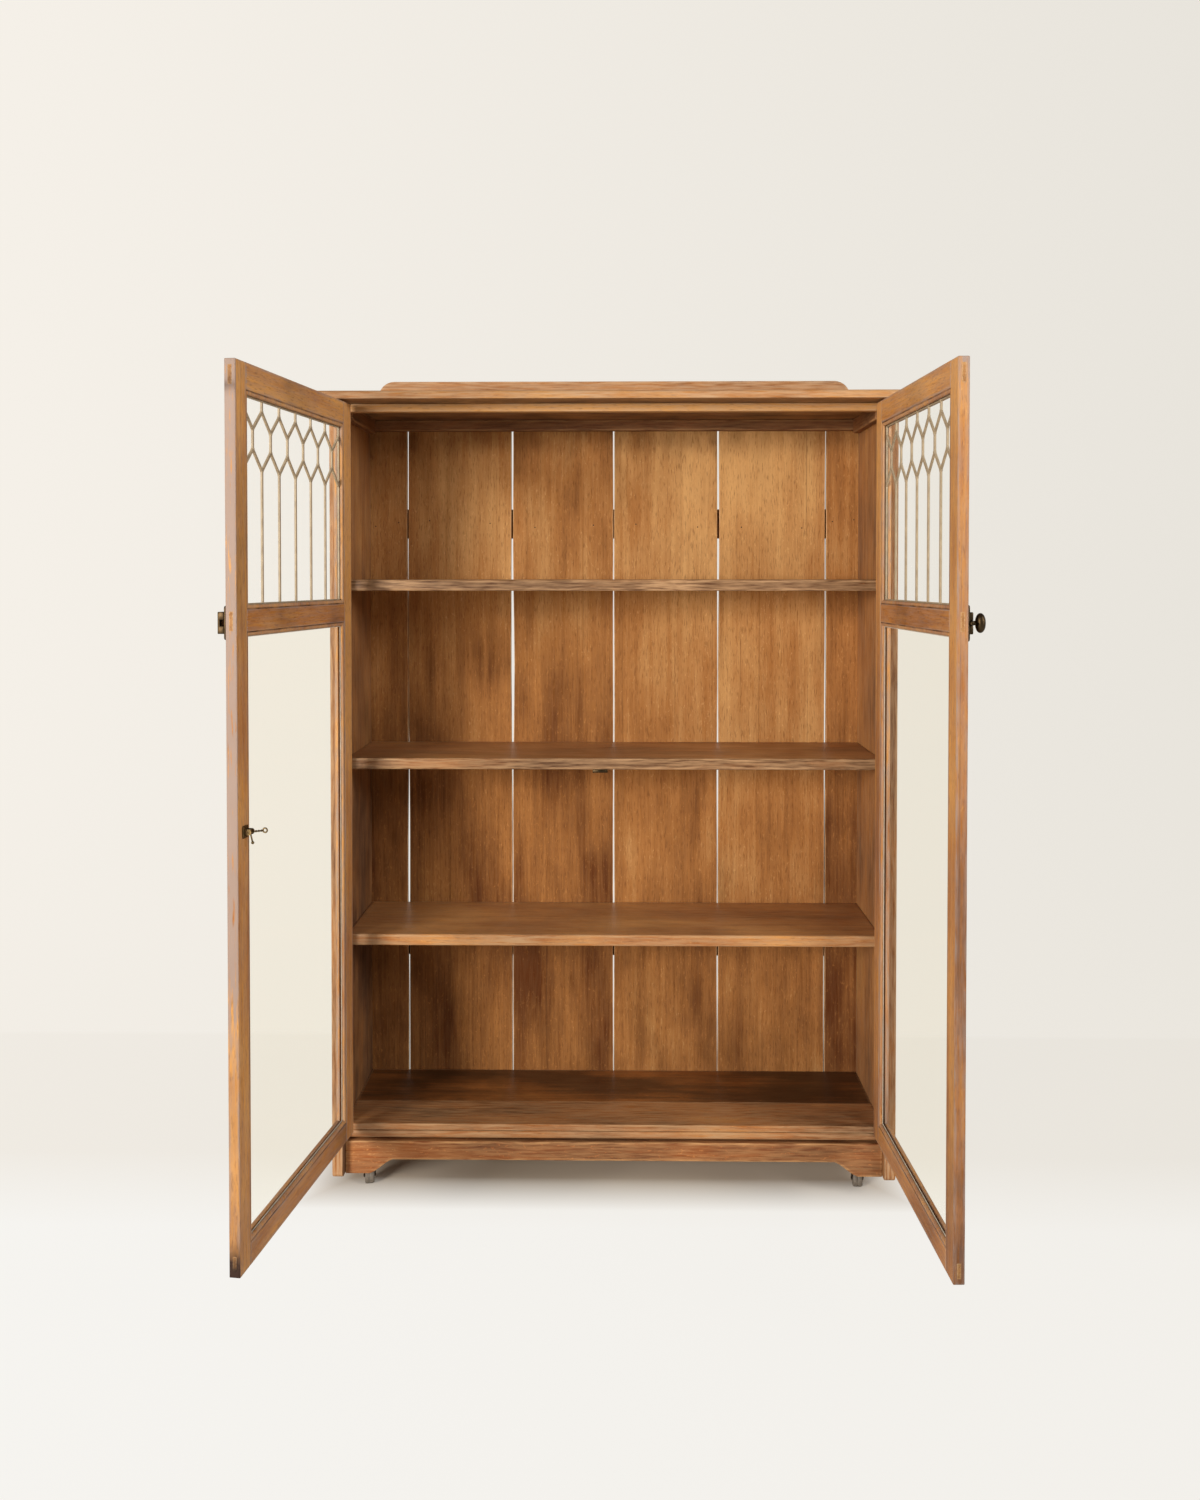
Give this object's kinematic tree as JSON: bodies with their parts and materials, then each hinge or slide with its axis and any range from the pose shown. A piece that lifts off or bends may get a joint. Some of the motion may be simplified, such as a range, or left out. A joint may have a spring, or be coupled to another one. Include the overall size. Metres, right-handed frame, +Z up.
{
  "type": "display cabinet",
  "caption": "Tall oak display cabinet with open shelves behind leaded glass doors, a boarded back, a low gallery and a shaped plinth on castors.",
  "frame": {"origin": "on the floor, under the middle of the whole object as it stands with its doors open", "axes": "+X to the right seen from the front, +Y towards the back, +Z up"},
  "size_m": [1.1528, 0.8372, 1.6014],
  "materials": {
    "oak": "worn waxed oak",
    "oak_inside": "dark waxed oak",
    "oak_worn": "oak with worn edges",
    "oak_back": "stained oak boards",
    "window_glass": "clear sheet glass",
    "leaded_glass": "clear panes in dull lead cames",
    "dark_bronze": "dark patinated",
    "iron": "dull, slightly rusted",
    "wheel_wood": "greyed hardwood"
  },
  "bodies": {
    "carcase": {"side_left": "oak", "side_right": "oak", "top_board": "oak", "gallery_board": "oak", "top_stop_rail": "oak", "back_top_rail": "oak_inside", "top_cleat_left": "oak_inside", "top_cleat_right": "oak_inside", "shelf_upper": "oak_worn", "shelf_middle": "oak_worn", "shelf_lower": "oak_worn", "bottom_board": "oak_worn", "plinth": "oak", "castor_rail_left": "oak_inside", "castor_rail_right": "oak_inside", "back_plank_1": "oak_back", "back_plank_2": "oak_back", "back_plank_3": "oak_back", "back_plank_4": "oak_back", "back_plank_5": "oak_back", "back_plank_6": "oak_back", "back_batten_lower": "oak_inside", "back_batten_upper": "oak_inside", "hinge_leaf_side_left_lower": "dark_bronze", "hinge_leaf_side_left_upper": "dark_bronze", "hinge_leaf_side_right_lower": "dark_bronze", "hinge_leaf_side_right_upper": "dark_bronze", "catch_strike": "dark_bronze"},
    "left_door": {"left_hinge_stile": "oak", "left_meeting_stile": "oak", "left_top_rail": "oak", "left_middle_rail": "oak", "left_bottom_rail": "oak", "left_leaded_light": "leaded_glass", "left_lower_glass": "window_glass", "hinge_leaf_door_left_lower": "dark_bronze", "hinge_leaf_door_left_upper": "dark_bronze", "left_latch_keeper": "dark_bronze", "left_catch_base": "dark_bronze"},
    "right_door": {"right_hinge_stile": "oak", "right_meeting_stile": "oak", "right_top_rail": "oak", "right_middle_rail": "oak", "right_bottom_rail": "oak", "right_leaded_light": "leaded_glass", "right_lower_glass": "window_glass", "hinge_leaf_door_right_lower": "dark_bronze", "hinge_leaf_door_right_upper": "dark_bronze", "right_latch_plate": "dark_bronze"},
    "latch_knob": {"latch_knob": "dark_bronze"},
    "latch_bolt": {"right_latch_bolt": "dark_bronze"},
    "catch_lever": {"catch_lever": "dark_bronze"},
    "castor_horn_front_left": {"castor_horn_front_left": "iron"},
    "castor_horn_front_right": {"castor_horn_front_right": "iron"},
    "castor_horn_rear_left": {"castor_horn_rear_left": "iron"},
    "castor_horn_rear_right": {"castor_horn_rear_right": "iron"},
    "castor_wheel_front_left": {"castor_wheel_front_left": "wheel_wood"},
    "castor_wheel_front_right": {"castor_wheel_front_right": "wheel_wood"},
    "castor_wheel_rear_left": {"castor_wheel_rear_left": "wheel_wood"},
    "castor_wheel_rear_right": {"castor_wheel_rear_right": "wheel_wood"}
  },
  "joints": [
    {"name": "left_door_hinge", "type": "hinge", "parent": "carcase", "child": "left_door", "pos_m": [-0.50207, 0.09437, 0.8], "axis": [0, 0, 1], "range_deg": [-77.7, 97.3]},
    {"name": "right_door_hinge", "type": "hinge", "parent": "carcase", "child": "right_door", "pos_m": [0.52493, 0.09437, 0.8], "axis": [0, 0, -1], "range_deg": [-83.1, 91.9]},
    {"name": "latch_knob_turn", "type": "hinge", "parent": "right_door", "child": "latch_knob", "pos_m": [0.53699, -0.396, 1.12011], "axis": [0.9995, 0.0332, 0], "range_deg": [0, 90]},
    {"name": "latch_bolt_slide", "type": "slide", "parent": "right_door", "child": "latch_bolt", "axis": [0.0332, -0.9995, 0], "range_m": [0, 0.01]},
    {"name": "catch_lever_pivot", "type": "hinge", "parent": "left_door", "child": "catch_lever", "pos_m": [-0.53369, -0.39407, 0.80436], "axis": [-0.1271, -0.9919, 0], "range_deg": [-25, 12], "stiffness_Nm_per_rad": 0.05},
    {"name": "castor_front_left_swivel", "type": "hinge", "parent": "carcase", "child": "castor_horn_front_left", "pos_m": [-0.46457, 0.16487, 0.053], "axis": [0, 0, 1], "continuous": true},
    {"name": "castor_front_right_swivel", "type": "hinge", "parent": "carcase", "child": "castor_horn_front_right", "pos_m": [0.48743, 0.16487, 0.053], "axis": [0, 0, 1], "continuous": true},
    {"name": "castor_rear_left_swivel", "type": "hinge", "parent": "carcase", "child": "castor_horn_rear_left", "pos_m": [-0.46457, 0.36527, 0.053], "axis": [0, 0, 1], "continuous": true},
    {"name": "castor_rear_right_swivel", "type": "hinge", "parent": "carcase", "child": "castor_horn_rear_right", "pos_m": [0.48743, 0.36527, 0.053], "axis": [0, 0, 1], "continuous": true},
    {"name": "castor_front_left_roll", "type": "hinge", "parent": "castor_horn_front_left", "child": "castor_wheel_front_left", "pos_m": [-0.46645, 0.17367, 0.01636], "axis": [-0.9781, -0.2079, 0], "continuous": true},
    {"name": "castor_front_right_roll", "type": "hinge", "parent": "castor_horn_front_right", "child": "castor_wheel_front_right", "pos_m": [0.48805, 0.17385, 0.01636], "axis": [-0.9976, 0.0698, 0], "continuous": true},
    {"name": "castor_rear_left_roll", "type": "hinge", "parent": "castor_horn_rear_left", "child": "castor_wheel_rear_left", "pos_m": [-0.46077, 0.37343, 0.01636], "axis": [-0.9063, 0.4226, 0], "continuous": true},
    {"name": "castor_rear_right_roll", "type": "hinge", "parent": "castor_horn_rear_right", "child": "castor_wheel_rear_right", "pos_m": [0.48586, 0.37413, 0.01636], "axis": [-0.9848, -0.1736, 0], "continuous": true}
  ],
  "couplings": [
    {"joint": "latch_bolt_slide", "follows": "latch_knob_turn", "m_per_rad": 0.0063661}
  ]
}
